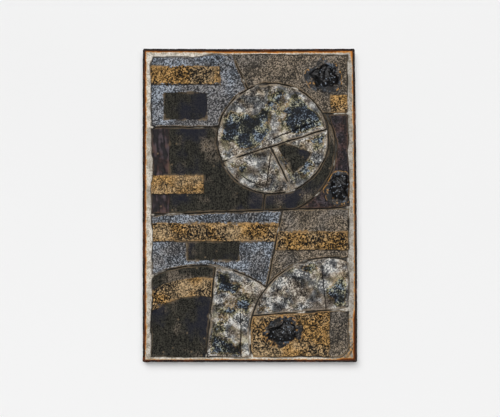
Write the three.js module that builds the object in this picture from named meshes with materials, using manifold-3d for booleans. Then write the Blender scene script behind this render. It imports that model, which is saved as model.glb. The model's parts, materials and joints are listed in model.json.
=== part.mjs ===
// Framed wall plaque: hand-cut slabs of glazed concrete, bedded in mortar in a welded angle-iron frame.
// The slabs make a low-relief picture of a plain kind, a sun over rolling fields.
// Millimetres. The plaque is drawn face up, x to the right, y up the plaque and z out of the wall,
// and the group then stands it upright: the front faces -Y, and the back lies on the plane Y = 0.
import * as THREE from "three";
import { mergeVertices } from "three/addons/utils/BufferGeometryUtils.js";
import Module from "manifold-3d";

const wasm = await Module();
wasm.setup();

// Driving dimensions of the whole plaque. The frame is a little out of square at its upper right.
const HEIGHT = 600;
const WIDTH = 409;
const TOP_RIGHT_LEAN = 3.5;
const RIM_LEVEL = 36;

// The angle iron
const IRON = 4.5;
const FLANGE_WIDTH = 28;
const FLANGE_THICKNESS = 4;
const CORNER_RADIUS = 3.5;

// Keyholes in the upper flange, which hang on two screws
const KEYHOLE_SPACING = 260;
const KEYHOLE_Y = 280.5;
const HEAD_RADIUS = 6;
const SHANK_RADIUS = 3;
const KEYHOLE_TRAVEL = 8;
const POCKET = { width: 18, bottom: 273, top: 293.5, depth: 9 };

// The mortar: a floor under the slabs and a lip between them and the frame
const GAP = 0.3;
const FLOOR_LEVEL = 25;
const LIP_LEVEL = 34.6;
const LIP_CLEARANCE = 0.8;
const MARGIN = { left: 9.5, right: 8.5, top: 7, bottom: 4.5 };
const MARGIN_BOW = 2.5;

// The slabs, the joints between them and the steps of their relief
const SLAB_LEVEL = 33.4;
const JOINT = 3;
const BAR_RISE = 1.8;
const PANEL_SINK = 1.5;
const FACET_RISE = 3.6;
const CRUST_RISE = 2.6;
const OVERRUN = 3;
const HIGH = 60;

// How finely a drawn line is followed, and how far a hand-cut edge strays
const STEP = 9;
const STRAY = 0.7;
const WELD = 1e-3;

// The sides of the frame and of the field of slabs
const LEFT = -WIDTH / 2;
const RIGHT = WIDTH / 2;
const TOP = HEIGHT / 2;
const BOTTOM = -HEIGHT / 2;
const FIELD = {
  left: LEFT + IRON + MARGIN.left,
  right: RIGHT - IRON - MARGIN.right,
  top: TOP - IRON - MARGIN.top,
  bottom: BOTTOM + IRON + MARGIN.bottom,
};

// The drawing: circles that the joints follow, and the line of the horizon
const SUN = { x: 44, y: 128, radius: 106 };
const HALO = { x: 36, y: 110, radius: 128 };
const HILL = { x: -95, y: -330, radius: 215 };
const KNOLL = { x: 150, y: -250, radius: 150 };
const HORIZON = { left: -18, right: -4 };
const SKY_JOINT_LEFT = 150;
const SKY_JOINT_RIGHT = 176;
const BAR = 35;

// Closed geometry from three.js as a solid that can be joined and cut
function solid(geometry) {
  const bare = geometry.clone();
  bare.deleteAttribute("normal");
  bare.deleteAttribute("uv");
  const merged = mergeVertices(bare, WELD);
  const vertProperties = merged.attributes.position.array;
  const triVerts = new Uint32Array(merged.index.array);
  return new wasm.Manifold(new wasm.Mesh({ numProp: 3, vertProperties, triVerts }));
}

// A solid back as three.js geometry
function geometryOf(made) {
  const { vertProperties, triVerts } = made.getMesh();
  const geometry = new THREE.BufferGeometry();
  geometry.setAttribute("position", new THREE.BufferAttribute(vertProperties, 3));
  geometry.setIndex(new THREE.BufferAttribute(triVerts, 1));
  geometry.computeVertexNormals();
  return geometry;
}

// An outline raised from one level to another
function prism(shape, from, to) {
  const options = { depth: to - from, bevelEnabled: false, curveSegments: 6 };
  return solid(new THREE.ExtrudeGeometry(shape, options).translate(0, 0, from));
}

// The stray of a hand-cut edge at a place on the plaque, between -1 and 1
function stray(x, y) {
  return 0.6 * Math.sin(0.071 * x + 0.113 * y + 1.7) + 0.4 * Math.sin(0.19 * x - 0.157 * y + 0.4);
}

function at(x, y) {
  return new THREE.Vector2(x, y);
}

function onCircle(circle, degrees) {
  const angle = THREE.MathUtils.degToRad(degrees);
  return at(circle.x + circle.radius * Math.cos(angle), circle.y + circle.radius * Math.sin(angle));
}

// The upper point of a circle at some x
function topOfCircle(circle, x) {
  return at(x, circle.y + Math.sqrt(circle.radius ** 2 - (x - circle.x) ** 2));
}

function horizonAt(x) {
  const share = (x - FIELD.left) / (FIELD.right - FIELD.left);
  return at(x, THREE.MathUtils.lerp(HORIZON.left, HORIZON.right, share));
}

function line(from, to) {
  return new THREE.LineCurve(from, to);
}

function arc(circle, fromDegrees, toDegrees) {
  const [from, to] = [fromDegrees, toDegrees].map(THREE.MathUtils.degToRad);
  return new THREE.EllipseCurve(circle.x, circle.y, circle.radius, circle.radius, from, to, to < from);
}

// Points along a curve, each strayed to the side as a hand-cut edge strays
function followed(curve, side = 0) {
  const count = Math.max(2, Math.round(curve.getLength() / STEP));
  return curve.getSpacedPoints(count).map((point, i) => {
    const along = curve.getTangentAt(i / count);
    const aside = side * (1 + 0.25 * stray(point.y, point.x)) + STRAY * stray(point.x, point.y);
    return at(point.x - along.y * aside, point.y + along.x * aside);
  });
}

// A closed outline along curves that meet end to end
function outlineOf(sides) {
  return new THREE.Shape(sides.flatMap((side) => followed(side).slice(0, -1)));
}

// The narrow strip that a joint takes out of the field of slabs
function jointStrip(curve) {
  const left = followed(curve, JOINT / 2);
  const right = followed(curve, -JOINT / 2);
  return prism(new THREE.Shape([...left, ...right.reverse()]), 0, HIGH);
}

// The frame's outline moved in by an inset, with rounded corners
function frameShape(inset, radius) {
  const corners = [
    at(LEFT + inset, BOTTOM + inset),
    at(RIGHT - inset, BOTTOM + inset),
    at(RIGHT - TOP_RIGHT_LEAN - inset, TOP - inset),
    at(LEFT + inset, TOP - inset),
  ];
  const shape = new THREE.Shape();
  corners.forEach((corner, i) => {
    const before = corners[(i + 3) % 4].clone().sub(corner).setLength(radius).add(corner);
    const after = corners[(i + 1) % 4].clone().sub(corner).setLength(radius).add(corner);
    if (i === 0) shape.moveTo(before.x, before.y);
    else shape.lineTo(before.x, before.y);
    shape.quadraticCurveTo(corner.x, corner.y, after.x, after.y);
  });
  shape.closePath();
  return shape;
}

// The field of slabs, grown by some amount. Its left edge bows in, and its right edge leans with the frame
function fieldShape(grow) {
  const lowerLeft = at(FIELD.left - grow, FIELD.bottom - grow);
  const lowerRight = at(FIELD.right + grow, FIELD.bottom - grow);
  const upperRight = at(FIELD.right - TOP_RIGHT_LEAN + grow, FIELD.top + grow);
  const upperLeft = at(FIELD.left - grow, FIELD.top + grow);
  const bow = at(FIELD.left - grow + 2 * MARGIN_BOW, 0);
  return outlineOf([
    line(lowerLeft, lowerRight),
    line(lowerRight, upperRight),
    line(upperRight, upperLeft),
    new THREE.QuadraticBezierCurve(upperLeft, bow, lowerLeft),
  ]);
}

// A round hole for the screw's head, with a slot above it for the shank
function keyholeShape(x) {
  const shape = new THREE.Shape();
  const meet = Math.asin(SHANK_RADIUS / HEAD_RADIUS);
  shape.absarc(x, KEYHOLE_Y, HEAD_RADIUS, Math.PI / 2 + meet, Math.PI * 2.5 - meet, false);
  shape.absarc(x, KEYHOLE_Y + KEYHOLE_TRAVEL, SHANK_RADIUS, 0, Math.PI, false);
  shape.closePath();
  return shape;
}

const keyholeSides = [-KEYHOLE_SPACING / 2, KEYHOLE_SPACING / 2];

// Angle iron, welded at the corners: an upright wall round the plaque and a flange behind it
function ironFrame() {
  const wall = frameShape(0, CORNER_RADIUS);
  wall.holes.push(frameShape(IRON, CORNER_RADIUS / 2));
  const flange = frameShape(0, CORNER_RADIUS);
  flange.holes.push(frameShape(FLANGE_WIDTH, CORNER_RADIUS / 2));
  const frame = prism(wall, 0, RIM_LEVEL).add(prism(flange, 0, FLANGE_THICKNESS));
  return keyholeSides.reduce((made, x) => made.subtract(prism(keyholeShape(x), -1, RIM_LEVEL / 2)), frame);
}

// Mortar cast into the frame: it fills the window of the flange flush with its back,
// and stands up as a lip round the slabs. Pockets behind the keyholes take the heads of the screws.
function mortarBed() {
  const inside = IRON + GAP;
  const window = frameShape(FLANGE_WIDTH + GAP, CORNER_RADIUS / 2);
  const floor = frameShape(inside, CORNER_RADIUS / 2);
  const lip = frameShape(inside, CORNER_RADIUS / 2);
  lip.holes.push(fieldShape(LIP_CLEARANCE));
  const bed = prism(window, 0, FLOOR_LEVEL)
    .add(prism(floor, FLANGE_THICKNESS + GAP, FLOOR_LEVEL))
    .add(prism(lip, FLOOR_LEVEL - 1, LIP_LEVEL));
  return keyholeSides.reduce((made, x) => {
    const pocket = bar(x - POCKET.width / 2, x + POCKET.width / 2, POCKET.bottom, POCKET.top);
    return made.subtract(prism(pocket, 0, FLANGE_THICKNESS + GAP + POCKET.depth));
  }, bed);
}

// Centre lines of the joints. Where one ends on another, it runs to the middle of that one.
function jointCurves() {
  const chordStart = onCircle(SUN, 205);
  const chordEnd = onCircle(SUN, 10);
  const chordMiddle = chordStart.clone().lerp(chordEnd, 0.46);
  const valley = topOfCircle(HILL, 32.5);
  const pastLeft = FIELD.left - OVERRUN;
  const pastRight = FIELD.right + OVERRUN;
  const pastBottom = FIELD.bottom - OVERRUN;
  return [
    arc(SUN, -4, 184),
    arc(SUN, 176, 364),
    line(chordStart, chordEnd),
    line(chordMiddle, onCircle(SUN, 290)),
    line(at(pastLeft, SKY_JOINT_LEFT), onCircle(SUN, 168)),
    line(at(-34, FIELD.top + OVERRUN), onCircle(SUN, 117)),
    line(at(pastRight, SKY_JOINT_RIGHT), onCircle(SUN, 27)),
    arc(HALO, 31, -67),
    line(onCircle(SUN, 262), horizonAt(26)),
    line(horizonAt(pastLeft), horizonAt(pastRight)),
    line(horizonAt(62), valley),
    arc(HILL, 118, 53.6),
    arc(KNOLL, 198, 72),
    line(topOfCircle(HILL, -66), at(-84, pastBottom)),
    line(onCircle(KNOLL, 165), at(pastRight, -198)),
  ];
}

// Outlines of the relief
function bar(left, right, bottom, top) {
  const corners = [at(left, bottom), at(right, bottom), at(right, top), at(left, top)];
  return outlineOf(corners.map((corner, i) => line(corner, corners[(i + 1) % 4])));
}

function sector(circle, fromDegrees, toDegrees, radius) {
  const rim = arc({ ...circle, radius }, fromDegrees, toDegrees);
  return new THREE.Shape([at(circle.x, circle.y), ...followed(rim)]);
}

function band(circle, inner, outer, fromDegrees, toDegrees) {
  const outside = followed(arc({ ...circle, radius: outer }, fromDegrees, toDegrees));
  const inside = followed(arc({ ...circle, radius: inner }, fromDegrees, toDegrees));
  return new THREE.Shape([...outside, ...inside.reverse()]);
}

function blob(x, y, halfWidth, halfHeight) {
  const points = [];
  const sides = 22;
  for (let i = 0; i < sides; i++) {
    const angle = (i / sides) * 2 * Math.PI;
    const [across, up] = [Math.cos(angle), Math.sin(angle)];
    const square = Math.max(Math.abs(across), Math.abs(up)) ** -0.6;
    const reach = square * (1 + 0.16 * stray(300 * across + x, 240 * up + y));
    points.push(at(x + halfWidth * reach * across, y + halfHeight * reach * up));
  }
  return new THREE.Shape(points);
}

// Ways of working the face of a slab: each takes its relief and its front level, and gives the relief changed
function raise(shape, rise) {
  return (body, front) => body.add(prism(shape, 0, front + rise));
}

function sink(shape, depth) {
  return (body, front) => body.subtract(prism(shape, front - depth, HIGH));
}

// A plane that rises from nothing along one side to a step along the other
function facet(shape, foot, crest, rise) {
  return (body, front) => {
    const geometry = new THREE.ExtrudeGeometry(shape, { depth: front, bevelEnabled: false });
    const run = crest.clone().sub(foot);
    const position = geometry.attributes.position;
    for (let i = 0; i < position.count; i++) {
      if (position.getZ(i) < front / 2) continue;
      const share = at(position.getX(i), position.getY(i)).sub(foot).dot(run) / run.lengthSq();
      position.setZ(i, front + rise * share);
    }
    return body.add(solid(geometry));
  };
}

// A crust of run glaze: a low plateau with rounded lumps on it, set out on a spiral
function crust(x, y, halfWidth, halfHeight, lumps) {
  return (body, front) => {
    let made = body.add(prism(blob(x, y, halfWidth, halfHeight), 0, front + CRUST_RISE));
    const goldenAngle = Math.PI * (3 - Math.sqrt(5));
    for (let i = 0; i < lumps; i++) {
      const reach = 0.86 * Math.sqrt((i + 0.5) / lumps);
      const angle = i * goldenAngle;
      const size = 6.5 + 2.5 * stray(90 * i, 57 * i);
      const lump = new THREE.IcosahedronGeometry(size, 1).scale(1, 0.85, 0.42);
      const [across, up] = [halfWidth * reach * Math.cos(angle), halfHeight * reach * Math.sin(angle)];
      made = made.add(solid(lump.translate(x + across, y + up, front + CRUST_RISE - 0.4)));
    }
    return made;
  };
}

// Colours of the glazes, with how rough each one is
const GLAZE = {
  bone: { color: 0x8d877d, roughness: 0.55 },
  ochre: { color: 0x7d6238, roughness: 0.8 },
  charcoal: { color: 0x34332f, roughness: 0.6 },
  slate: { color: 0x62636a, roughness: 0.75 },
  umber: { color: 0x5c5148, roughness: 0.8 },
  black: { color: 0x2b2a2b, roughness: 0.35 },
};

// The slabs: a point inside each, how far it stands off the common level, its glaze and its relief
const slabs = {
  slab_sky_left: {
    inside: at(-120, 200),
    level: -0.3,
    glaze: GLAZE.slate,
    relief: [
      raise(bar(FIELD.left - OVERRUN, -58, 232, 232 + BAR), BAR_RISE),
      sink(bar(-164, -82, 164, 216), PANEL_SINK),
    ],
  },
  slab_sky_top: {
    inside: at(60, 262),
    level: 0.2,
    glaze: GLAZE.umber,
    relief: [
      crust(146, 246, 27, 17, 11),
      raise(bar(154, FIELD.right + OVERRUN, SKY_JOINT_RIGHT, SKY_JOINT_RIGHT + BAR), BAR_RISE),
    ],
  },
  slab_dusk: {
    inside: at(-130, 100),
    level: -0.6,
    glaze: GLAZE.charcoal,
    relief: [
      raise(bar(FIELD.left - OVERRUN, -154, HORIZON.left - OVERRUN, SKY_JOINT_LEFT + OVERRUN), 0.7),
      raise(bar(FIELD.left - OVERRUN, -88, 22, 22 + BAR), BAR_RISE),
    ],
  },
  slab_sun_upper: {
    inside: at(0, 190),
    level: 0.8,
    glaze: GLAZE.bone,
    relief: [facet(sector(SUN, 22, 96, 96), onCircle(SUN, 60), at(SUN.x, SUN.y), FACET_RISE)],
  },
  slab_sun_lower_left: {
    inside: at(0, 70),
    level: 0.5,
    glaze: GLAZE.bone,
    relief: [facet(sector(SUN, 196, 262, 92), onCircle(SUN, 196), onCircle(SUN, 262), FACET_RISE / 2)],
  },
  slab_sun_lower_right: {
    inside: at(112, 80),
    level: 1.2,
    glaze: GLAZE.bone,
    relief: [sink(sector(SUN, 300, 340, 78), PANEL_SINK)],
  },
  slab_halo: {
    inside: at(100, 15),
    level: -1.0,
    glaze: GLAZE.charcoal,
    relief: [],
  },
  slab_corner: {
    inside: at(172, 10),
    level: -0.2,
    glaze: GLAZE.black,
    relief: [crust(168, 34, 17, 26, 9)],
  },
  slab_meadow_left: {
    inside: at(-80, -100),
    level: 0,
    glaze: GLAZE.slate,
    relief: [
      raise(bar(FIELD.left - OVERRUN, 80, -34 - BAR, -34), BAR_RISE),
      sink(bar(-120, -20, -106, -34 - BAR), PANEL_SINK),
    ],
  },
  slab_meadow_right: {
    inside: at(150, -30),
    level: 0.4,
    glaze: GLAZE.umber,
    relief: [raise(bar(20, FIELD.right + OVERRUN, -50 - BAR, -50), BAR_RISE)],
  },
  slab_hill_left: {
    inside: at(-140, -160),
    level: -0.5,
    glaze: GLAZE.charcoal,
    relief: [raise(band(HILL, 156, 156 + BAR, 62, 128), BAR_RISE)],
  },
  slab_hill_middle: {
    inside: at(-30, -150),
    level: 0.6,
    glaze: GLAZE.bone,
    relief: [facet(bar(-96, -18, -300, -206), at(-96, -206), at(-18, -236), FACET_RISE / 1.6)],
  },
  slab_hill_right: {
    inside: at(150, -130),
    level: 1.0,
    glaze: GLAZE.bone,
    relief: [facet(sector(KNOLL, 96, 148, 134), onCircle(KNOLL, 148), onCircle(KNOLL, 96), FACET_RISE)],
  },
  slab_hill_foot: {
    inside: at(150, -270),
    level: -0.1,
    glaze: GLAZE.ochre,
    relief: [
      sink(bar(152, FIELD.right + OVERRUN, FIELD.bottom - OVERRUN, -190), PANEL_SINK / 2),
      crust(62, -243, 25, 14, 10),
    ],
  },
};

// The whole field, cut along its joints into loose pieces of the full height
function cutField() {
  const back = FLOOR_LEVEL + GAP;
  const field = prism(fieldShape(0), back, HIGH);
  const cut = jointCurves().reduce((made, curve) => made.subtract(jointStrip(curve)), field);
  return cut.decompose();
}

// The loose piece that holds a point
function pieceAt(pieces, point) {
  const pin = solid(new THREE.BoxGeometry(1, 1, 1).translate(point.x, point.y, SLAB_LEVEL));
  return pieces.find((piece) => piece.intersect(pin).volume() > 0.5);
}

function slabSolid(piece, plan) {
  const front = SLAB_LEVEL + plan.level;
  const face = new THREE.BoxGeometry(2 * WIDTH, 2 * HEIGHT, front).translate(0, 0, front / 2);
  const relief = plan.relief.reduce((body, work) => work(body, front), solid(face));
  return piece.intersect(relief);
}

function named(name, made, look) {
  const mesh = new THREE.Mesh(geometryOf(made), new THREE.MeshStandardMaterial(look));
  mesh.name = name;
  return mesh;
}

const plaque = new THREE.Group();
plaque.add(named("iron_frame", ironFrame(), { color: 0x33241c, roughness: 0.65, metalness: 0.7 }));
plaque.add(named("mortar_bed", mortarBed(), { color: 0xb5ad9e, roughness: 0.95, metalness: 0 }));
const pieces = cutField();
for (const [name, plan] of Object.entries(slabs)) {
  plaque.add(named(name, slabSolid(pieceAt(pieces, plan.inside), plan), { ...plan.glaze, metalness: 0 }));
}

plaque.rotation.x = Math.PI / 2;

export default plaque;
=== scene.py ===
import json
import math

import bpy
import numpy as np
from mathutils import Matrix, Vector
from mathutils.bvhtree import BVHTree
from mathutils.geometry import delaunay_2d_cdt


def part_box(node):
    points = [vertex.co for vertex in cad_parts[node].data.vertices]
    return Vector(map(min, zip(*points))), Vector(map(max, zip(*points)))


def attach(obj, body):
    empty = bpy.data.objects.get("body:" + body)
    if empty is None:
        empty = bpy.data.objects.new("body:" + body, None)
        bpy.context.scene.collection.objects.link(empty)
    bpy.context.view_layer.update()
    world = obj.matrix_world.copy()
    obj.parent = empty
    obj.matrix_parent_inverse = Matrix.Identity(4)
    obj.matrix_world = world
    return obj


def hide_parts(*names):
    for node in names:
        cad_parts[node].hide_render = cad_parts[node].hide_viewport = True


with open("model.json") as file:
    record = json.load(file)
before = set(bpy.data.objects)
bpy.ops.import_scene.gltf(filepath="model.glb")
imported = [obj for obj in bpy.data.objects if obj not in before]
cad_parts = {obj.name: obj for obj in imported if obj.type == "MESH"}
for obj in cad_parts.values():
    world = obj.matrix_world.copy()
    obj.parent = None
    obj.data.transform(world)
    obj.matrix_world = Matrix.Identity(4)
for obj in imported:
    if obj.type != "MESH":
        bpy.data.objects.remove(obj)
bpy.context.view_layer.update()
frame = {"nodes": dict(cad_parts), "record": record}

MM = 0.001
UV_NAME = "OFBake"

# Where rays start from to find a solid's face, and how level what is flat must be
FAR = 1000
FLAT_WITHIN = 0.01

# How fine the grids are that the surfaces are worked on
SLAB_GRID = 0.9
MORTAR_GRID = 1.15
BACK_GRID = 3.0
FLANGE_GRID = 1.6
IRON_STEP = 2.2

# How many lines of a grid lie past the outline that it covers, on each side
SPARE_LINES = 2

# Slabs: worn edges, and the steps of relief that tell one glaze from the next
EDGE_ROUND = 1.2
EDGE_STEPS = 9
LOW_STEP = 0.35
BAR_STEP = 1.2
CRUST_STEP = 2.2
FOOT_DEPTH = 1.1
ROUNDED_SLAB = "slab_hill_foot"
ROUNDED_RADIUS = 24

# Black crusts: how far they have melted, how far their glaze has run, and how ragged they are
CRUST_RUN = 0.92
CRUST_PASSES = 40
RUN_PASSES = 360
RUN_EDGE = 0.07
CRUST_RAG = 22

# How far the mortar laps over the slabs along the frame, in patches, at the top left and beside them, and
# how far the slabs reach out to the right of the middle of the top
LAP = 2.6
TOP_LAP = 4.4
SIDE_LAP = 2.6
TOP_REACH = 1.5

# Iron and mortar, as in the solids
IRON = 4.5
FLANGE_WIDTH = 28
FLANGE_THICKNESS = 4
CORNER_RADIUS = 3.5
BED_GAP = 0.3

# How far the frame has bent in its sides: out to the right, most of all below the middle, out to the left,
# and down at the top
BENT_RIGHT = 2.3
BENT_RIGHT_AT = -60
BENT_LEFT = 0.4
BENT_TOP = -0.7

# The photograph's frame, where the plaque stands in it, and how far off the camera is
IMAGE_WIDTH = 500
IMAGE_HEIGHT = 417
PLAQUE_TOP_PX = 48.5
PLAQUE_BOTTOM_PX = 362.2
PLAQUE_LEFT_PX = 142.6
PLAQUE_RIGHT_PX = 356.7
CAMERA_DISTANCE = 3.2
SENSOR_WIDTH = 36


# Repeatable noise

def fade(t):
    return t * t * (3 - 2 * t)


def ease(value, low, high):
    """0 up to low, 1 from high on, and smooth between."""
    return fade(np.clip((value - low) / (high - low), 0, 1))


def hashed(i, j, seed):
    """Repeatable values from 0 to 1 for pairs of whole numbers."""
    a = i.astype(np.int64).astype(np.uint32)
    b = j.astype(np.int64).astype(np.uint32)
    mixed = a * np.uint32(374761393) + b * np.uint32(668265263) + np.uint32(seed * 97561 + 17)
    mixed = (mixed ^ (mixed >> np.uint32(13))) * np.uint32(1274126177)
    mixed = (mixed ^ (mixed >> np.uint32(15))) * np.uint32(2246822519)
    return ((mixed ^ (mixed >> np.uint32(16))) & np.uint32(0xFFFFFF)) / 0xFFFFFF


def noise(x, z, size, seed):
    """Smooth noise from 0 to 1 with lumps about size across, on a grid turned by its seed."""
    turn = 0.7 * seed
    u = (x * math.cos(turn) - z * math.sin(turn)) / size
    v = (x * math.sin(turn) + z * math.cos(turn)) / size
    i, j = np.floor(u), np.floor(v)
    s, t = fade(u - i), fade(v - j)
    low = hashed(i, j, seed) * (1 - s) + hashed(i + 1, j, seed) * s
    high = hashed(i, j + 1, seed) * (1 - s) + hashed(i + 1, j + 1, seed) * s
    return low * (1 - t) + high * t


def fractal(x, z, size, seed, octaves=3):
    """Noise in several sizes, each half as large and half as strong as the last."""
    total, weight = 0, 0
    for octave in range(octaves):
        share = 0.5 ** octave
        total = total + share * noise(x, z, size * share, seed + octave)
        weight += share
    return total / weight


def blotches(x, z, low, high, size, seed, octaves=3):
    """0 where noise in several sizes is below low, 1 where it is above high, and smooth between."""
    return ease(fractal(x, z, size, seed, octaves), low, high)


def cells(x, z, size, seed):
    """Distance to the nearest of points scattered about a size apart, in sizes, and that point's value."""
    u, v = x / size, z / size
    i, j = np.floor(u), np.floor(v)
    nearest = np.full(u.shape, np.inf)
    value = np.zeros(u.shape)
    for di in (-1, 0, 1):
        for dj in (-1, 0, 1):
            a, b = i + di, j + dj
            away = np.hypot(u - a - hashed(a, b, seed), v - b - hashed(a, b, seed + 1))
            value = np.where(away < nearest, hashed(a, b, seed + 2), value)
            nearest = np.minimum(nearest, away)
    return nearest, value


# Reading the solids

def solid_arrays(node):
    """A solid's points, as x, z and out, and its triangles, with points at one place made one."""
    mesh = frame["nodes"][node].data
    points = np.empty(len(mesh.vertices) * 3)
    mesh.vertices.foreach_get("co", points)
    points = points.reshape(-1, 3)[:, [0, 2, 1]] * (1, 1, -1) / MM
    mesh.calc_loop_triangles()
    triangles = np.empty(len(mesh.loop_triangles) * 3, int)
    mesh.loop_triangles.foreach_get("vertices", triangles)
    _, first, same = np.unique(points.round(2), axis=0, return_index=True, return_inverse=True)
    return points[first], same.ravel()[triangles.reshape(-1, 3)]


def loops_of(sides):
    """Closed loops from directed sides."""
    after = dict(sides)
    loops = []
    while after:
        start, at = after.popitem()
        loop = [start]
        while at != start:
            loop.append(at)
            at = after.pop(at)
        loops.append(loop)
    return loops


def flat_outlines(node, flat_at):
    """The outlines of what lies flat at one height of a solid, the longest first."""
    points, triangles = solid_arrays(node)
    height = flat_at(points[:, 2])
    flat = triangles[(np.abs(points[triangles, 2] - height) < FLAT_WITHIN).all(axis=1)]
    sides = {(t[k - 1], t[k]) for t in flat.tolist() for k in range(3)}
    loops = [points[loop][:, :2] for loop in loops_of([(a, b) for a, b in sides if (b, a) not in sides])]
    return sorted(loops, key=lambda loop: -np.ptp(loop, axis=0).sum())


def path_distance(x, z, path):
    """How far points are from an open path."""
    nearest = np.full(x.shape, np.inf)
    for (ax, az), (bx, bz) in zip(path, path[1:]):
        ux, uz = bx - ax, bz - az
        share = np.clip(((x - ax) * ux + (z - az) * uz) / (ux * ux + uz * uz), 0, 1)
        nearest = np.minimum(nearest, (x - ax - share * ux) ** 2 + (z - az - share * uz) ** 2)
    return np.sqrt(nearest)


def enclosed(x, z, loops):
    """Which points lie within an uneven number of closed outlines."""
    inside = np.zeros(x.shape, bool)
    for loop in loops:
        for (ax, az), (bx, bz) in zip(loop, np.roll(loop, -1, axis=0)):
            if az != bz:
                inside ^= ((az > z) != (bz > z)) & (x < ax + (z - az) / (bz - az) * (bx - ax))
    return inside


def signed_distance(x, z, loop):
    """How far points are from a closed outline, negative inside it."""
    away = path_distance(x, z, [*loop, loop[0]])
    return np.where(enclosed(x, z, [loop]), -away, away)


def neighbours(grid, **padding):
    """The values above, below and to both sides of every point of a grid."""
    padded = np.pad(grid, 1, **padding)
    return np.stack([padded[:-2, 1:-1], padded[2:, 1:-1], padded[1:-1, :-2], padded[1:-1, 2:]])


def faced(node, x, z, wanted, side):
    """How far out a solid's face lies at the wanted points, seen from the front (side 1) or the back
    (side -1), spread a little past its edge."""
    points, triangles = solid_arrays(node)
    tree = BVHTree.FromPolygons(points.tolist(), triangles.tolist())
    far, back = FAR * side, Vector((0, 0, -side))
    out = np.full(x.shape, np.nan)
    for j, i in np.argwhere(wanted):
        hit = tree.ray_cast(Vector((x[j, i], z[j, i], far)), back)[0]
        if hit is not None:
            out[j, i] = hit.z
    for _ in range(EDGE_STEPS):
        around = neighbours(out, constant_values=np.nan)
        known = ~np.isnan(around)
        mean = np.where(known, around, 0).sum(axis=0) / np.maximum(known.sum(axis=0), 1)
        out = np.where(np.isnan(out) & known.any(axis=0), mean, out)
    return np.nan_to_num(out, nan=np.nanmean(out))


def softened(grid, passes):
    """A grid with its steps worn round."""
    for _ in range(passes):
        grid = 0.5 * grid + 0.125 * neighbours(grid, mode="edge").sum(axis=0)
    return grid


def steps_to_edge(zones, inside):
    """How many grid steps each point is from another zone or from the outside, up to EDGE_STEPS."""
    alike = neighbours(zones, mode="edge") == zones
    same = inside
    steps = np.zeros(zones.shape)
    for _ in range(EDGE_STEPS):
        same = same & (neighbours(same, constant_values=False) & alike).all(axis=0)
        steps += same
    return steps


# Meshes from grids

# A cell's corners are 0 to 3 from its lower left, and the crossings of the outline on its sides 4 to 7
CELL_FACES = {
    1: [(0, 4, 7)], 2: [(4, 1, 5)], 3: [(0, 1, 5, 7)], 4: [(5, 2, 6)], 5: [(0, 4, 7), (5, 2, 6)],
    6: [(4, 1, 2, 6)], 7: [(0, 1, 2, 6, 7)], 8: [(7, 6, 3)], 9: [(0, 4, 6, 3)], 10: [(4, 1, 5), (7, 6, 3)],
    11: [(0, 1, 5, 6, 3)], 12: [(5, 2, 3, 7)], 13: [(0, 4, 5, 2, 3)], 14: [(4, 1, 2, 3, 7)],
    15: [(0, 1, 2, 3)],
}
FIRST_CROSSING = 4
WITHIN_OUTLINES = 1
MERGE_WITHIN = 1e-4

# A plate's wall goes down in bands, and on the flat map it lies in rows below the plate, with the plate's
# flat side beside it
WALL_SHARES = (0.15, 0.4, 1.0)
WALL_ROW = 7
WALL_HEIGHT = 5.6
CAP_SCALE = 0.12
MAP_SPACE = 1.02
MAP_MARGIN = 0.004


def numbered(mask, start):
    return np.where(mask, start - 1 + np.cumsum(mask).reshape(mask.shape), -1)


def crossing(mask, here, there):
    """How far along from here to there the distance comes to 0, where the mask says that it does."""
    return np.where(mask, here, 0) / np.where(mask, here - there, 1)


def plate_front(grid, distance, face, values, zones):
    """A plate's worked side, cut off where distance comes to 0, with the directed sides of its outlines and
    the zones of its points."""
    x, z = grid
    inside = distance < 0
    across = inside[:, :-1] != inside[:, 1:]
    upward = inside[:-1] != inside[1:]
    node = numbered(inside, 0)
    cross_x = numbered(across, inside.sum())
    cross_z = numbered(upward, inside.sum() + across.sum())
    share_x = crossing(across, distance[:, :-1], distance[:, 1:])
    share_z = crossing(upward, distance[:-1], distance[1:])

    def at_points(grid):
        along = grid[:, :-1] + (grid[:, 1:] - grid[:, :-1]) * share_x
        up = grid[:-1] + (grid[1:] - grid[:-1]) * share_z
        return np.concatenate([grid[inside], along[across], up[upward]])

    points = np.stack([at_points(x), at_points(z), at_points(face)], axis=1)
    case = (inside[:-1, :-1] + 2 * inside[:-1, 1:] + 4 * inside[1:, 1:] + 8 * inside[1:, :-1]).astype(int)
    places = [node[:-1, :-1], node[:-1, 1:], node[1:, 1:], node[1:, :-1],
              cross_x[:-1], cross_z[:, 1:], cross_x[1:], cross_z[:, :-1]]
    faces, face_zones, maps, sides = [], [], [], []
    for number, polygons in CELL_FACES.items():
        here = case == number
        for polygon in polygons:
            faces.append(np.stack([places[corner][here] for corner in polygon], axis=1))
            face_zones.append(zones[:-1, :-1][here])
            maps.append(points[faces[-1]][..., :2])
            for a, b in zip(polygon, polygon[1:] + polygon[:1]):
                if a >= FIRST_CROSSING and b >= FIRST_CROSSING:
                    sides += zip(places[a][here].tolist(), places[b][here].tolist())
    kept = {name: at_points(grid) for name, grid in values.items()}
    plate = {"points": points, "faces": faces, "zones": face_zones, "maps": maps, "values": kept}
    return plate, sides, at_points(zones.astype(float)).round().astype(int)


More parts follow.
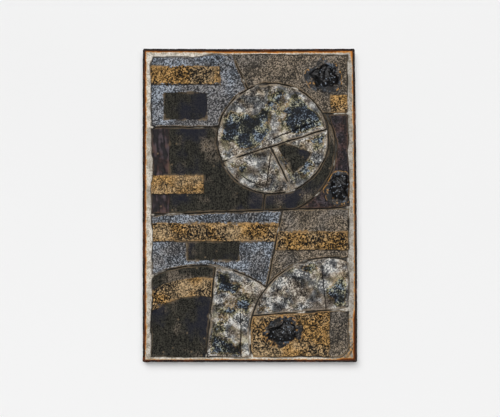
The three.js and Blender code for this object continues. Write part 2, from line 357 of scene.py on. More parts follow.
def add_walls(plate, sides, zone_at, back):
    """Gives a plate its walls, down to its flat side, and returns the rings that they end in."""
    corner, width = plate["points"][:, :2].min(axis=0), np.ptp(plate["points"][:, 0])
    per_row = max(int(width), 1)
    rows, last_rings = 0, []
    for loop in map(np.array, loops_of(sides)):
        ring, top = loop, plate["points"][loop]
        k = np.arange(len(loop))
        for share in WALL_SHARES:
            below = len(plate["points"]) + k
            lower = np.column_stack([top[:, :2], top[:, 2] + (back - top[:, 2]) * share])
            plate["points"] = np.concatenate([plate["points"], lower])
            for name, array in plate["values"].items():
                plate["values"][name] = np.concatenate([array, array[loop]])
            plate["faces"].append(np.stack([ring, below, np.roll(below, -1), np.roll(ring, -1)], axis=1))
            plate["zones"].append(zone_at[loop])
            u, v = k % per_row, -(1 + rows + k // per_row) * WALL_ROW
            places = [(u, v + WALL_HEIGHT), (u, v), (u + 1, v), (u + 1, v + WALL_HEIGHT)]
            plate["maps"].append(corner + np.stack([np.stack(place, 1) for place in places], 1))
            rows += 1 + (len(loop) - 1) // per_row
            ring = below
        last_rings.append(ring)
    return last_rings


def cap_triangles(points, rings):
    """Triangles that close a plate's flat side between rings of point numbers, and leave its holes open."""
    order = np.concatenate(rings)
    starts = np.cumsum([0] + [len(ring) for ring in rings])
    sides = [(start + k, start + (k + 1) % len(ring))
             for start, ring in zip(starts, rings) for k in range(len(ring))]
    spots = [Vector(points[n][:2]) for n in order]
    found = delaunay_2d_cdt(spots, sides, [], WITHIN_OUTLINES, MERGE_WITHIN)
    triangles = order[[[found[3][corner][0] for corner in triangle] for triangle in found[2]]]
    middles = points[triangles][..., :2].mean(axis=1)
    return triangles[enclosed(*middles.T, [points[ring][:, :2] for ring in rings])]


def relief_plate(grid, distance, face, back, values, zones=None):
    """A closed plate that fills where distance is below 0. Its worked side stands out as far as the grid
    face, its other side is flat, and its points keep the named grids of values."""
    zones = np.zeros(distance.shape, int) if zones is None else zones
    plate, sides, zone_at = plate_front(grid, distance, face, values, zones)
    rings = add_walls(plate, sides, zone_at, back)
    cap = cap_triangles(plate["points"], rings)[:, ::-1]
    flat = plate["points"][:, :2]
    corner = flat.min(axis=0)
    plate["faces"].append(cap)
    plate["zones"].append(np.full(len(cap), zone_at[0]))
    plate["maps"].append(corner + (flat[cap] - corner) * CAP_SCALE + (np.ptp(flat[:, 0]) * MAP_SPACE, 0))
    if np.mean(face[distance < 0]) < back:
        plate["faces"] = [polygons[:, ::-1] for polygons in plate["faces"]]
        plate["maps"] = [places[:, ::-1] for places in plate["maps"]]
    return plate


def swept_ring(loops, values, rows):
    """A closed ring from outlines of equal length, in order round its section, with its map cut in rows."""
    count, length = len(loops), len(loops[0])
    index = np.arange(count * length).reshape(count, length)
    ahead, aside = np.roll(index, -1, axis=1), np.roll(index, -1, axis=0)
    faces = np.stack([index, ahead, np.roll(ahead, -1, axis=0), aside], axis=-1).reshape(-1, 4)
    per_row = -(-length // rows)
    section, station = np.divmod(np.arange(count * length), length)
    u, v = station % per_row, section + (count + 2) * (station // per_row)
    corners = ((0, 0), (1, 0), (1, 1), (0, 1))
    maps = IRON_STEP * np.stack([np.stack([u + a, v + b], 1) for a, b in corners], 1)
    kept = {name: np.concatenate(arrays) for name, arrays in values.items()}
    return {"points": np.concatenate(loops), "faces": [faces], "zones": [np.zeros(len(faces), int)],
            "maps": [maps], "values": kept}


def settled(points):
    """Points moved as the frame has bent."""
    x, z, out = points.T
    wide, tall = high.x, high.z
    right = BENT_RIGHT * np.clip(1 - ((z - BENT_RIGHT_AT) / (tall - BENT_RIGHT_AT)) ** 2, 0, 1)
    left = BENT_LEFT * np.clip(1 - (z / tall) ** 2, 0, 1)
    beside = (x / wide) ** 2 * np.where(x > 0, right, -left)
    above = (np.clip(z, 0, tall) / tall) ** 2 * BENT_TOP * np.clip(1 - (x / wide) ** 2, 0, 1)
    return np.column_stack([x + beside, -out, z + above]) * MM


def stacked_maps(patches):
    """The patches' flat maps, one above the other, in a square of size 1."""
    placed, top, wide = [], 0, 0
    for patch in patches:
        flat = np.concatenate([places.reshape(-1, 2) for places in patch["maps"] if len(places)])
        low, size = flat.min(axis=0), np.ptp(flat, axis=0)
        placed.append(flat - low + (0, top))
        top += size[1] * MAP_SPACE
        wide = max(wide, size[0])
    return MAP_MARGIN + (1 - 2 * MAP_MARGIN) * np.concatenate(placed) / max(top, wide)


def in_scene(name, data):
    """A new object in the scene, from a mesh, a lamp or a camera."""
    made = bpy.data.objects.new(name, data)
    bpy.context.scene.collection.objects.link(made)
    return made


def mesh_object(name, points, faces, materials):
    """A new object in the scene, from points and the faces between them."""
    mesh = bpy.data.meshes.new(name)
    mesh.from_pydata(points, [], faces)
    for material in materials:
        mesh.materials.append(material)
    return in_scene(name, mesh)


def piece(name, node, patches, materials):
    """One object from patches, with a material for each zone, in the place of a node."""
    points, faces = [], []
    for patch in patches:
        faces += [face for group in patch["faces"] for face in (len(points) + group).tolist()]
        points += settled(patch["points"]).tolist()
    made = mesh_object(name, points, faces, materials)
    mesh = made.data
    zones = [zones for patch in patches for zones in patch["zones"]]
    mesh.polygons.foreach_set("material_index", np.concatenate(zones))
    mesh.polygons.foreach_set("use_smooth", np.ones(len(faces), bool))
    for value in patches[0]["values"]:
        attribute = mesh.attributes.new(value, "FLOAT", "POINT")
        attribute.data.foreach_set("value", np.concatenate([patch["values"][value] for patch in patches]))
    mesh.uv_layers.new(name=UV_NAME).data.foreach_set("uv", stacked_maps(patches).ravel())
    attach(made, "root")
    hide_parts(node)


# Materials

def linear(red, green, blue):
    """A colour read as 0 to 255, as the shader takes it."""
    shares = [channel / 255 for channel in (red, green, blue)]
    return [s / 12.92 if s <= 0.04045 else ((s + 0.055) / 1.055) ** 2.4 for s in shares] + [1]


# The sockets of a Mix node that mixes colours
MIX_INPUTS = (0, 6, 7)
MIX_OUTPUT = 2


class Shader:
    """A material's nodes, made one at a time around its surface."""

    def __init__(self, name):
        self.material = bpy.data.materials.new(name)
        self.material.use_nodes = True
        self.tree = self.material.node_tree
        self.surface = self.tree.nodes["Principled BSDF"]
        self.place = self.node("TexCoord").outputs["Object"]

    def node(self, kind, **settings):
        made = self.tree.nodes.new("ShaderNode" + kind)
        for name, setting in settings.items():
            setattr(made, name, setting)
        return made

    def feed(self, node, inputs):
        """Gives a node's inputs, by name or number, a constant or another node's output."""
        for key, source in inputs.items():
            if isinstance(source, bpy.types.NodeSocket):
                self.tree.links.new(source, node.inputs[key])
            else:
                node.inputs[key].default_value = source
        return node

    def value(self, name):
        return self.node("Attribute", attribute_name=name).outputs["Fac"]

    def noise(self, size, detail=3, stretch=(1, 1, 1)):
        """Noise with lumps about size millimetres across, stretched along the plaque's axes."""
        scale = [1 / (size * MM * s) for s in stretch]
        scaled = self.feed(self.node("Mapping"), {"Vector": self.place, "Scale": scale})
        lumps = {"Vector": scaled.outputs["Vector"], "Scale": 1, "Detail": detail}
        return self.feed(self.node("TexNoise"), lumps).outputs["Fac"]

    def ramp(self, factor, *stops):
        """Colours along a factor, each given as its place, red, green and blue."""
        made = self.feed(self.node("ValToRGB"), {"Fac": factor})
        elements = made.color_ramp.elements
        while len(elements) < len(stops):
            elements.new(0.5)
        for element, (place, *colour) in zip(elements, stops):
            element.position = place
            element.color = linear(*colour)
        return made.outputs["Color"]

    def mix(self, factor, first, second):
        made = self.node("Mix", data_type="RGBA")
        return self.feed(made, dict(zip(MIX_INPUTS, (factor, first, second)))).outputs[MIX_OUTPUT]

    def span(self, source, low, high, to_low=0, to_high=1):
        """A value between low and high spread from to_low to to_high."""
        made = self.node("MapRange", interpolation_type="SMOOTHSTEP")
        return self.feed(made, dict(enumerate((source, low, high, to_low, to_high)))).outputs["Result"]

    def blend(self, first, second, size, detail, low, high, most=1):
        """The second colour over the first, where noise passes from low to high."""
        return self.mix(self.span(self.noise(size, detail), low, high, 0, most), first, second)

    def speckled(self, source, size, share):
        """A value with noise added, half up and half down."""
        specks = self.span(self.noise(size, detail=2), 0.3, 0.7, -share, share)
        return self.feed(self.node("Math", operation="ADD"), {0: specks, 1: source}).outputs["Value"]

    def worn(self, colour, *bare):
        """A colour rubbed down to a barer one where it is worn."""
        return self.mix(self.value("worn"), colour, linear(*bare))

    def finish(self, colour, roughness, bump_from, bump_height, shine=0.2):
        bump = {"Height": bump_from, "Distance": bump_height * MM, "Strength": 1}
        normal = self.feed(self.node("Bump"), bump).outputs["Normal"]
        self.feed(self.surface, {"Base Color": colour, "Roughness": roughness, "Normal": normal,
                                 "Specular IOR Level": shine})
        return self.material


def ochre():
    """Sandy ochre with black in its pits, paler and barer along its edges."""
    shader = Shader("ochre")
    grain = shader.speckled(shader.value("grain"), size=1.8, share=0.16)
    yellow = shader.ramp(grain, (0, 6, 7, 9), (0.25, 57, 47, 32), (0.55, 131, 100, 58), (1, 208, 166, 107))
    dusty = shader.ramp(grain, (0, 8, 9, 11), (0.25, 58, 52, 43), (0.55, 127, 107, 80), (1, 200, 172, 132))
    colour = shader.blend(yellow, dusty, 46, 4, 0.4, 0.6)
    bare = shader.worn(colour, 158, 127, 88)
    dull = shader.span(grain, 0, 0.6, 0.6, 0.85)
    return shader.finish(bare, dull, shader.noise(1.1, 4), 0.25, shine=0.07)


def grainy(name, dark, middle, light, other_middle, other_light):
    """A coarse granular glaze that drifts between two tints."""
    shader = Shader(name)
    grain = shader.speckled(shader.value("grain"), size=1.6, share=0.14)
    first = shader.ramp(grain, (0, *dark), (0.5, *middle), (1, *light))
    second = shader.ramp(grain, (0, *dark), (0.5, *other_middle), (1, *other_light))
    colour = shader.blend(first, second, 60, 5, 0.42, 0.6)
    worn = shader.worn(colour, 126, 109, 86)
    return shader.finish(worn, shader.span(grain, 0, 1, 0.55, 0.8), shader.noise(0.9, 4), 0.25, shine=0.12)


def slate():
    return grainy("slate", (17, 19, 22), (81, 86, 93), (171, 179, 190), (75, 74, 75), (154, 152, 152))


def umber():
    return grainy("umber", (14, 12, 10), (78, 70, 59), (166, 150, 131), (71, 66, 60), (148, 139, 129))


def charcoal():
    """Smooth olive black with faint upright brush marks, rubbed paler in places."""
    shader = Shader("charcoal")
    brush = shader.noise(3, 4, (1, 1, 10))
    marked = shader.speckled(brush, size=2, share=0.34)
    dark = shader.ramp(marked, (0.2, 5, 5, 4), (0.8, 61, 59, 52))
    dusty = shader.ramp(marked, (0.2, 24, 21, 18), (0.8, 140, 127, 112))
    cloudy = shader.blend(dark, dusty, 42, 5, 0.52, 0.7, 0.75)
    bluish = shader.blend(cloudy, linear(29, 31, 43), 60, 4, 0.52, 0.66, 0.7)
    rubbed = shader.worn(bluish, 104, 90, 72)
    satin = shader.span(brush, 0.3, 0.7, 0.5, 0.7)
    return shader.finish(rubbed, satin, shader.noise(1.6, 5), 0.2, shine=0.05)


def scorched():
    """Dark brown to purple, rough and streaky, with a dull shine."""
    shader = Shader("scorched")
    grain = shader.value("grain")
    grey = shader.ramp(grain, (0, 12, 11, 12), (0.5, 37, 33, 36), (1, 82, 74, 78))
    brown = shader.ramp(grain, (0, 15, 11, 11), (0.5, 47, 36, 35), (1, 88, 68, 64))
    mixed = shader.blend(grey, brown, 24, 4, 0.42, 0.6)
    bare = shader.worn(mixed, 104, 86, 68)
    return shader.finish(bare, shader.span(grain, 0, 1, 0.4, 0.7), shader.noise(1.2, 4), 0.25, shine=0.08)


def black():
    """Black glaze, glossy on its crust, dull where it has run, with ochre where it thins at its edges, and
    with painted glints on the tops of its crust.
    """
    shader = Shader("black")
    grain = shader.speckled(shader.value("grain"), size=1.8, share=0.1)
    # The crust's top colour is the pale blue of its painted glints
    crust = shader.ramp(grain, (0, 3, 3, 4), (0.45, 11, 10, 11), (0.75, 27, 25, 25), (1, 126, 135, 146))
    bluish = shader.ramp(grain, (0, 3, 3, 4), (0.5, 18, 20, 24), (1, 92, 101, 112))
    brownish = shader.ramp(grain, (0, 4, 3, 3), (0.5, 27, 24, 22), (1, 94, 85, 75))
    run = shader.blend(bluish, brownish, 16, 4, 0.44, 0.58)
    lumpy = shader.mix(shader.span(shader.value("pool"), 0.2, 0.8), run, crust)
    fringed = shader.worn(lumpy, 178, 133, 74)
    shader.feed(shader.surface, {"Coat Weight": 0.06, "Coat Roughness": 0.15})
    smooth = shader.span(shader.value("pool"), 0.2, 0.8, 0.8, 0.36)
    return shader.finish(fringed, smooth, shader.noise(2.2, 5), 0.3, shine=0.1)


def bone():
    """Pale mottled glaze with dark blue pools that shade through olive and brown at their rims."""
    shader = Shader("bone")
    grain = shader.speckled(shader.value("grain"), size=1.7, share=0.14)
    pool = shader.speckled(shader.value("pool"), size=3.4, share=0.22)
    pink = shader.ramp(grain, (0, 24, 22, 20), (0.35, 89, 81, 73), (0.65, 132, 122, 111), (1, 207, 199, 186))
    grey = shader.ramp(grain, (0, 24, 24, 26), (0.35, 80, 81, 83), (0.65, 123, 124, 124), (1, 222, 220, 215))
    pale = shader.blend(pink, grey, 26, 5, 0.42, 0.58)
    blue = shader.ramp(grain, (0, 4, 5, 8), (0.5, 22, 27, 36), (0.8, 58, 68, 81), (1, 134, 147, 159))
    green = shader.ramp(grain, (0, 4, 5, 5), (0.45, 24, 27, 26), (0.8, 80, 81, 67), (1, 165, 163, 141))
    deep = shader.blend(blue, green, 13, 4, 0.45, 0.6)
    olive = shader.ramp(grain, (0, 19, 18, 11), (0.5, 85, 81, 59), (1, 172, 164, 126))
    brown = shader.ramp(grain, (0, 15, 11, 8), (0.5, 80, 65, 43), (1, 156, 130, 90))
    rim = shader.blend(olive, brown, 19, 3, 0.44, 0.6)
    stained = shader.blend(pale, rim, 30, 4, 0.52, 0.66, 0.6)
    rimmed = shader.mix(shader.span(pool, 0.05, 0.5), stained, rim)
    pooled = shader.mix(shader.span(pool, 0.4, 0.85), rimmed, deep)
    worn = shader.worn(pooled, 147, 132, 112)
    return shader.finish(worn, shader.span(pool, 0, 1, 0.65, 0.45), shader.noise(1.0, 4), 0.25, shine=0.07)


def mortar():
    """Cream cement, greyer in places, stained with rust by the iron and dark with dirt in the joints, and
    darkened the same way as painted shade in gaps, the crack, the groove under the bead and the holes
    behind.
    """
    shader = Shader("mortar")
    tone = shader.speckled(shader.noise(11, 5), size=2.8, share=0.2)
    colour = shader.ramp(tone, (0.3, 160, 150, 135), (0.5, 209, 201, 188), (0.72, 231, 224, 213))
    smudged = shader.blend(colour, linear(134, 126, 113), 40, 4, 0.48, 0.66, 0.6)
    # Dark where there is dirt and where shade is painted, from one attribute
    dirty_and_shaded = shader.mix(shader.value("dirt"), smudged, linear(17, 15, 13))
    rust = shader.speckled(shader.value("rust"), size=5, share=0.12)
    stain = shader.ramp(rust, (0.2, 214, 176, 120), (0.5, 190, 118, 48), (0.95, 96, 48, 15))
    stained = shader.mix(shader.span(rust, 0.1, 0.42), dirty_and_shaded, stain)
    return shader.finish(stained, 0.92, shader.noise(0.8, 5), 0.2)


def iron():
    """Dark scaled iron with rust that breaks through, most of all along the inner edge."""
    shader = Shader("iron")
    scale = shader.ramp(shader.noise(5, 5), (0.35, 18, 14, 13), (0.65, 42, 32, 28))
    rust = shader.ramp(shader.noise(3, 5), (0.3, 50, 27, 13), (0.6, 128, 68, 26))
    patchy = shader.blend(scale, rust, 26, 5, 0.54, 0.68, 0.45)
    inner = shader.mix(shader.value("rust"), patchy, rust)
    shader.feed(shader.surface, {"Metallic": 0.2})
    dull = shader.span(shader.noise(4, 4), 0.3, 0.7, 0.55, 0.85)
    return shader.finish(inner, dull, shader.noise(1.4, 5), 0.3)


# The worked face of each glaze: how far it stands out, and its grain from 0 in the pits to 1 on the tops

def sand_face(x, z, pool):
    _, sand = cells(x, z, size=2, seed=21)
    sway = 1.8 * (noise(x, z, size=5, seed=24) - 0.5)
    near, value = cells(x + sway, z - sway, size=2.5, seed=27)
    cluster = blotches(x, z, 0.4, 0.62, size=44, seed=32)
    pit = ease((0.24 + 0.42 * cluster) * ease(value, 0.3, 0.75) - near, -0.1, 0.1)
    soft = fractal(x, z, size=9, seed=36, octaves=2)
    grain = np.clip(0.18 + 0.82 * sand + 0.4 * (soft - 0.5), 0, 1) * (1 - pit)
    return 0.5 * (sand - 0.5) + 0.6 * (soft - 0.5) - 1.4 * pit, grain


def coarse_face(x, z, pool):
    near, value = cells(x, z, size=1.7, seed=41)
    lump = noise(x, z, size=4.4, seed=44)
    drift = fractal(x, z, size=34, seed=46, octaves=2)
    grain = np.clip(1.15 * value + 0.16 * (lump - 0.5) + 0.6 * (drift - 0.5) - 0.09, 0, 1)
    return 0.8 * (value - 0.5) - 0.3 * near + 0.5 * (lump - 0.5) + 0.5 * (drift - 0.5), grain


# How much finer the grain of umber is than that of slate
FINER = 1.15


def fine_face(x, z, pool):
    return coarse_face(FINER * x, FINER * z, pool)


def brushed_face(x, z, pool):
    marks = noise(x, z / 9, size=2.4, seed=0)
    swell = fractal(x, z, size=26, seed=52, octaves=2)
    _, grit = cells(x, z, size=3.2, seed=55)
    rise = 0.12 * (marks - 0.5) + 0.6 * (swell - 0.5) + 0.35 * ease(grit, 0.86, 1)
    return rise, marks


def crumbs(x, z):
    """Specks of mortar left on a dark face."""
    near, value = cells(x, z, size=11, seed=57)
    return ease(value, 0.93, 0.97) * ease(0.2 - near, 0, 0.08)


def streaky_face(x, z, pool):
    streak = noise(x + 0.1 * z, z / 5, size=2.8, seed=0)
    rough = fractal(x, z, size=7, seed=62)
    _, grit = cells(x, z, size=2.2, seed=65)
    gritty = ease(x, 20, 120)
    streaks = ease(0.5 * streak + 0.5 * rough, 0.2, 0.8)
    grain = np.clip(streaks * (1 - 0.4 * gritty) + gritty * (0.9 * grit - 0.3), 0, 1)
    return grain - 0.5, grain


def crust_face(x, z, pool):
    near, value = cells(x + 3 * noise(x, z, size=7, seed=70), z, size=3.4, seed=71)
    bubble = ease(value, 0.4, 1) * np.sqrt(np.clip(1 - near, 0, 1))
    fold = 1 - np.abs(2 * fractal(x + 0.4 * z, z, size=8, seed=74) - 1)
    swell = fractal(x, z, size=20, seed=77, octaves=2)
    # Painted glints: pale specks on the crust's tops that stand in for highlights
    painted_glint = ease(value, 0.78, 0.92) * ease(0.5 - near, 0, 0.25)
    rise = (0.5 * bubble + 1.4 * (fold - 0.75) + 1.2 * (swell - 0.5)) * (0.25 + 0.75 * pool)
    _, grit = cells(x, z, size=2.1, seed=79)
    blotched = 0.75 * grit + 1.5 * (fractal(x, z, size=9, seed=177) - 0.5) + 0.05
    return rise, np.clip((0.9 * fold * swell + 0.8 * painted_glint - 0.05) * pool + blotched * (1 - pool), 0, 1)


def mottled_face(x, z, pool):
    _, value = cells(x, z, size=1.8, seed=81)
    cloud = fractal(x, z, size=13, seed=84)
    run = fractal(x, z, size=20, seed=88, octaves=2)
    rough = 0.4 + 0.6 * blotches(x, z, 0.36, 0.6, size=24, seed=86, octaves=2)
    contrast = 0.9 * rough * (1 - pool) + (0.55 + rough) * pool
    grain = np.clip(0.54 + contrast * (value - 0.5) + 1.45 * (cloud - 0.5), 0, 1)
    return 0.6 * (value - 0.5) * (1 - 0.5 * pool) + 0.8 * (run - 0.5) - 0.9 * pool, grain


# For each glaze its material, its face, and how far in from its edges it is worn
GLAZES = {
    "ochre": (ochre(), sand_face, 2.6),
    "slate": (slate(), coarse_face, 1.8),
    "umber": (umber(), fine_face, 1.8),
    "charcoal": (charcoal(), brushed_face, 2.6),
    "scorched": (scorched(), streaky_face, 2),
    "black": (black(), crust_face, 2),
    "bone": (bone(), mottled_face, 3),
}

# Which glaze each slab has on its face, and on what stands proud of it or lies below it
SLABS = {
    "slab_sky_left": {"face": "slate", "bar": "ochre", "sunk": "charcoal"},
    "slab_sky_top": {"face": "umber", "bar": "ochre", "crust": "black"},
    "slab_dusk": {"face": "charcoal", "low": "scorched", "bar": "ochre"},
    "slab_sun_upper": {"face": "bone"},
    "slab_sun_lower_left": {"face": "bone"},
    "slab_sun_lower_right": {"face": "bone", "sunk": "charcoal"},
    "slab_halo": {"face": "charcoal"},
    "slab_corner": {"face": "scorched", "crust": "black"},
    "slab_meadow_left": {"face": "slate", "bar": "ochre", "sunk": "charcoal"},
    "slab_meadow_right": {"face": "umber", "bar": "ochre"},
    "slab_hill_left": {"face": "charcoal", "bar": "ochre"},
    "slab_hill_middle": {"face": "bone"},
    "slab_hill_right": {"face": "bone"},
    "slab_hill_foot": {"face": "ochre", "sunk": "umber", "crust": "black"},
}
SLAB_OUTLINES = {node: flat_outlines(node, np.min)[0] for node in SLABS}
FIELD_OUTLINE = flat_outlines("mortar_bed", np.max)[1]


def grid_over(loop, spacing):
    """A grid over an outline, with a few lines to spare on each side."""
    first = np.floor(loop.min(axis=0) / spacing) - SPARE_LINES
    last = np.ceil(loop.max(axis=0) / spacing) + SPARE_LINES
    return np.meshgrid(*[spacing * np.arange(a, b + 1) for a, b in zip(first, last)])


def chipped(x, z):
    """How far a hand-cut edge has crumbled, and where the mortar laps over it along the frame."""
    crumbled = 0.5 * (noise(x, z, size=4, seed=91) - 0.7)
    chips = 1.3 * ease(noise(x, z, size=15, seed=92), 0.74, 0.92)
    by_top, by_bottom = ease(z, 268, 284), ease(-z, 260, 280)
    by_left, by_right = ease(-x, 172, 186), ease(x, 172, 186)
    reached = TOP_REACH * ease(x, -120, -60) * ease(-x, -130, -80)
    above = by_top * (TOP_LAP * ease(-x, 50, 150) - reached)
    low_left = by_left * ease(-z, 95, 115) * ease(z, -215, -195)
    beside = SIDE_LAP * (by_right * ease(-z, -10, 40) + 0.6 * low_left)
    thin = np.maximum.reduce([0.7 * by_bottom, 0.75 * by_top, 0.9 * by_left * ease(z, 165, 190)])
    lapped = LAP * (1 - thin) * blotches(x, z, 0.4, 0.7, size=36, seed=93)
    by_frame = ease(signed_distance(x, z, FIELD_OUTLINE), -7, -3)
    return crumbled + chips + above + beside + lapped * by_frame


def rounded_corner(x, z):
    """Distance from the round of the slab corner at the lower right, for points beyond its centre, and how
    far along the round they are from its nearer end."""
    loop = SLAB_OUTLINES[ROUNDED_SLAB]
    beyond_x, beyond_z = x - loop[:, 0].max() + ROUNDED_RADIUS, loop[:, 1].min() + ROUNDED_RADIUS - z
    from_end = np.minimum(beyond_x, beyond_z)
    round_off = np.hypot(beyond_x, beyond_z) - ROUNDED_RADIUS
    return np.where(from_end > 0, round_off, -ROUNDED_RADIUS), from_end


def slab_distance(node, x, z):
    """Distance of points from a slab's edge before it crumbled, negative inside it."""
    distance = signed_distance(x, z, SLAB_OUTLINES[node])
    if node == ROUNDED_SLAB:
        distance = np.maximum(distance, rounded_corner(x, z)[0])
    return distance


def levels_of(front, inside, plan):
    """Which glaze lies where, read from the steps of the solid's front, as names and a grid of numbers."""
    heights, counts = np.unique(front[inside].round(1), return_counts=True)
    level = front - heights[counts.argmax()]
    names = sorted(set(plan.values()))
    zones = np.full(front.shape, names.index(plan["face"]))
    for place, here in (("low", level > LOW_STEP), ("bar", level > BAR_STEP), ("crust", level > CRUST_STEP),
                        ("sunk", level < -LOW_STEP)):
        if place in plan:
            zones[here] = names.index(plan[place])
    return names, zones


def frayed(zones, x, z):
    """Zones with ragged borders, here and there by much more."""
    reach = 0.9 + 6 * ease(noise(x, z, size=42, seed=95), 0.58, 0.8)
    rows, columns = np.indices(zones.shape)
    up = reach * (fractal(x, z, size=6, seed=96) - 0.5) * 2 / SLAB_GRID
    aside = reach * (fractal(x, z, size=6, seed=101) - 0.5) * 2 / SLAB_GRID
    row = np.clip(np.rint(rows + up), 0, zones.shape[0] - 1).astype(int)
    column = np.clip(np.rint(columns + aside), 0, zones.shape[1] - 1).astype(int)
    return zones[row, column]


def wear(from_edge, reach, x, z):
    """Where an edge is rubbed bare, in patches."""
    uneven = reach * 1.5 * blotches(x, z, 0.42, 0.72, size=16, seed=104, octaves=4)
    rubbed = ease(uneven - from_edge, -0.2 * reach, reach)
    return rubbed * (0.35 + 0.5 * noise(x, z, size=3, seed=109))


def rubbed_rim(distance, x, z):
    """Where the arris along a slab's edge is rubbed down to its body."""
    patchy = 0.25 + 0.6 * blotches(x, z, 0.38, 0.62, size=30, seed=141)
    return patchy * ease(distance, -2.4, -0.8)


def lip_shadow(distance, x, z):
    """Where a slab's edge along the frame is painted dark in patches: painted shade under the mortar's lip.
    """
    by_frame = ease(signed_distance(x, z, FIELD_OUTLINE), -11, -8)
    patchy = 0.3 + 0.7 * blotches(x, z, 0.36, 0.56, size=28, seed=145)
    return by_frame * patchy * ease(distance, -2.6, -1.2)


def shadowed_step_feet(front):
    """Where the ground lies just to the right of a step or just below it: undercut, and painted dark as the
    shadow of a light from the upper left.
    """
    padded = np.pad(front, ((0, 2), (2, 0)), mode="edge")
    above = [padded[:-2, 2:], padded[1:-1, 2:], padded[2:, 2:]]
    beside = [padded[:-2, 1:-1], padded[:-2, :-2]]
    return ease(np.maximum.reduce(above + beside) - front, 0.4, 1.2)


def melted(front, crust):
    """A solid's front with its steps worn round, and its crust run together."""
    run = CRUST_RUN * softened(front, CRUST_PASSES) + (1 - CRUST_RUN) * front
    return softened(front + crust * (run - front), passes=1)


def run_edge(crust, x, z):
    """How far a point lies within the glaze that has run from under a crust, negative outside it."""
    spread = softened(crust, RUN_PASSES)
    ragged = 0.9 * ease(spread, 0, 0.12) * (fractal(x, z, size=15, seed=147, octaves=4) - 0.5)
    return spread + ragged * (1 - crust) - RUN_EDGE


def fringe(within, x, z):
    """Where the run glaze is thin along its edge, in patches."""
    patchy = blotches(x, z, 0.44, 0.56, size=14, seed=149)
    _, fleck = cells(x, z, size=3, seed=181)
    edge = patchy * ease(0.06 - within, 0, 0.05)
    flecks = ease(fleck, 0.93, 0.97) * ease(0.3 - within, 0, 0.1)
    return 0.85 * np.maximum(edge, flecks)


def slab_front(node, plan, x, z, distance):
    """How far out a slab's front lies, with its steps waved and its crusts ragged, and the glazes on it."""
    near, inside = distance < SPARE_LINES * SLAB_GRID, distance < 0
    aside = rising = 1.6 * (fractal(x, z, size=10, seed=107) - 0.5)
    front = faced(node, x + aside, z - rising, near, 1)
    names, levels = levels_of(front, inside, plan)
    if "crust" in plan:
        spread = softened((levels == names.index(plan["crust"])).astype(float), RUN_PASSES)
        ragged = CRUST_RAG * ease(spread, 0.02, 0.2)
        aside = aside + ragged * (fractal(x, z, size=22, seed=171) - 0.5)
        rising = rising + ragged * (fractal(x, z, size=22, seed=175) - 0.5)
        front = faced(node, x + aside, z - rising, near, 1)
        names, levels = levels_of(front, inside, plan)
    return front, names, levels


def glazed(names, zones, pool, within, from_edge, x, z):
    """How far the glazes rise, and their grain and wear, each where it lies."""
    worked, grain, worn = np.zeros((3, *x.shape))
    for number, name in enumerate(names):
        here = zones == number
        _, face, reach = GLAZES[name]
        rise, value = face(x, z, pool)
        rubbed = fringe(within, x, z) if name == "black" else wear(from_edge, reach, x, z)
        if name in ("charcoal", "scorched"):
            rubbed = np.maximum(rubbed, crumbs(x, z))
        worked[here], grain[here], worn[here] = rise[here], value[here], rubbed[here]
    return worked, grain, worn


def slab_piece(node, plan):
    x, z = grid_over(SLAB_OUTLINES[node], SLAB_GRID)
    distance = slab_distance(node, x, z) + chipped(x, z)
    front, names, levels = slab_front(node, plan, x, z, distance)
    zones = frayed(levels, x, z)
    from_edge = steps_to_edge(levels, distance < 0) * SLAB_GRID
    pool = blotches(x, z, 0.46, 0.64, size=48, seed=111, octaves=4) * ease(-distance, 2, 14)
    crust, within = np.zeros(x.shape), np.full(x.shape, -1.0)
    if "crust" in plan:
        number = names.index(plan["crust"])
        pool = crust = softened((levels == number).astype(float), passes=3)
        within = run_edge(crust, x, z)
        zones[within > 0] = number
    worked, grain, worn = glazed(names, zones, pool, within, from_edge, x, z)
    # Painted shadow at the feet of the steps, where they are also cut in
    foot = shadowed_step_feet(front) * (within <= 0)
    # Painted shade along the slab's edge under the mortar's lip, which also takes the wear off the edge
    # there
    lip_shade = lip_shadow(distance, x, z)
    worn = np.maximum(worn, rubbed_rim(distance, x, z)) * (1 - lip_shade)
    if node == ROUNDED_SLAB:
        worn = np.maximum(worn, 0.9 * ease(rounded_corner(x, z)[0], -6, -2.5))
    # The grain is darkened at the step feet as painted shadow, and along the mortar's lip as painted shade
    grain = grain * (1 - foot) * (1 - 0.9 * lip_shade)
    into_round = 1 - np.clip(-distance / EDGE_ROUND, 0, 1)
    fall = EDGE_ROUND * (1 - np.sqrt(1 - into_round ** 2))
    face = melted(front, crust) + worked * ease(-distance, 0, 2.5) - fall - FOOT_DEPTH * foot
    back = -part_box(node)[1].y / MM
    values = {"grain": grain, "worn": worn, "pool": pool}
    plate = relief_plate((x, z), distance, face, back, values, zones)
    piece(node.replace("slab", "glazed"), node, [plate], [GLAZES[name][0] for name in names])


# The mortar

# The frame's box, how far out its rim stands, and where its top ends on the right
low, high = (Vector(corner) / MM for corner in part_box("iron_frame"))
rim_out = -low.y
rim_points = solid_arrays("iron_frame")[0]
top_right = rim_points[rim_points[:, 1] > high.z - CORNER_RADIUS][:, 0].max()

# The crack through the lip at the lower right
CRACK = ((186, -278), (191, -271), (199.5, -262))


def frame_corners(inset):
    """The frame's corners from the lower left, moved in by an inset."""
    left, right, bottom, top = low.x + inset, high.x - inset, low.z + inset, high.z - inset
    return np.array([(left, bottom), (right, bottom), (top_right - inset, top), (left, top)])


def low_right(x, z):
    """The lip's lower right, which is the most stained."""
    return ease(x, 150, 190) * ease(-z, 185, 225)


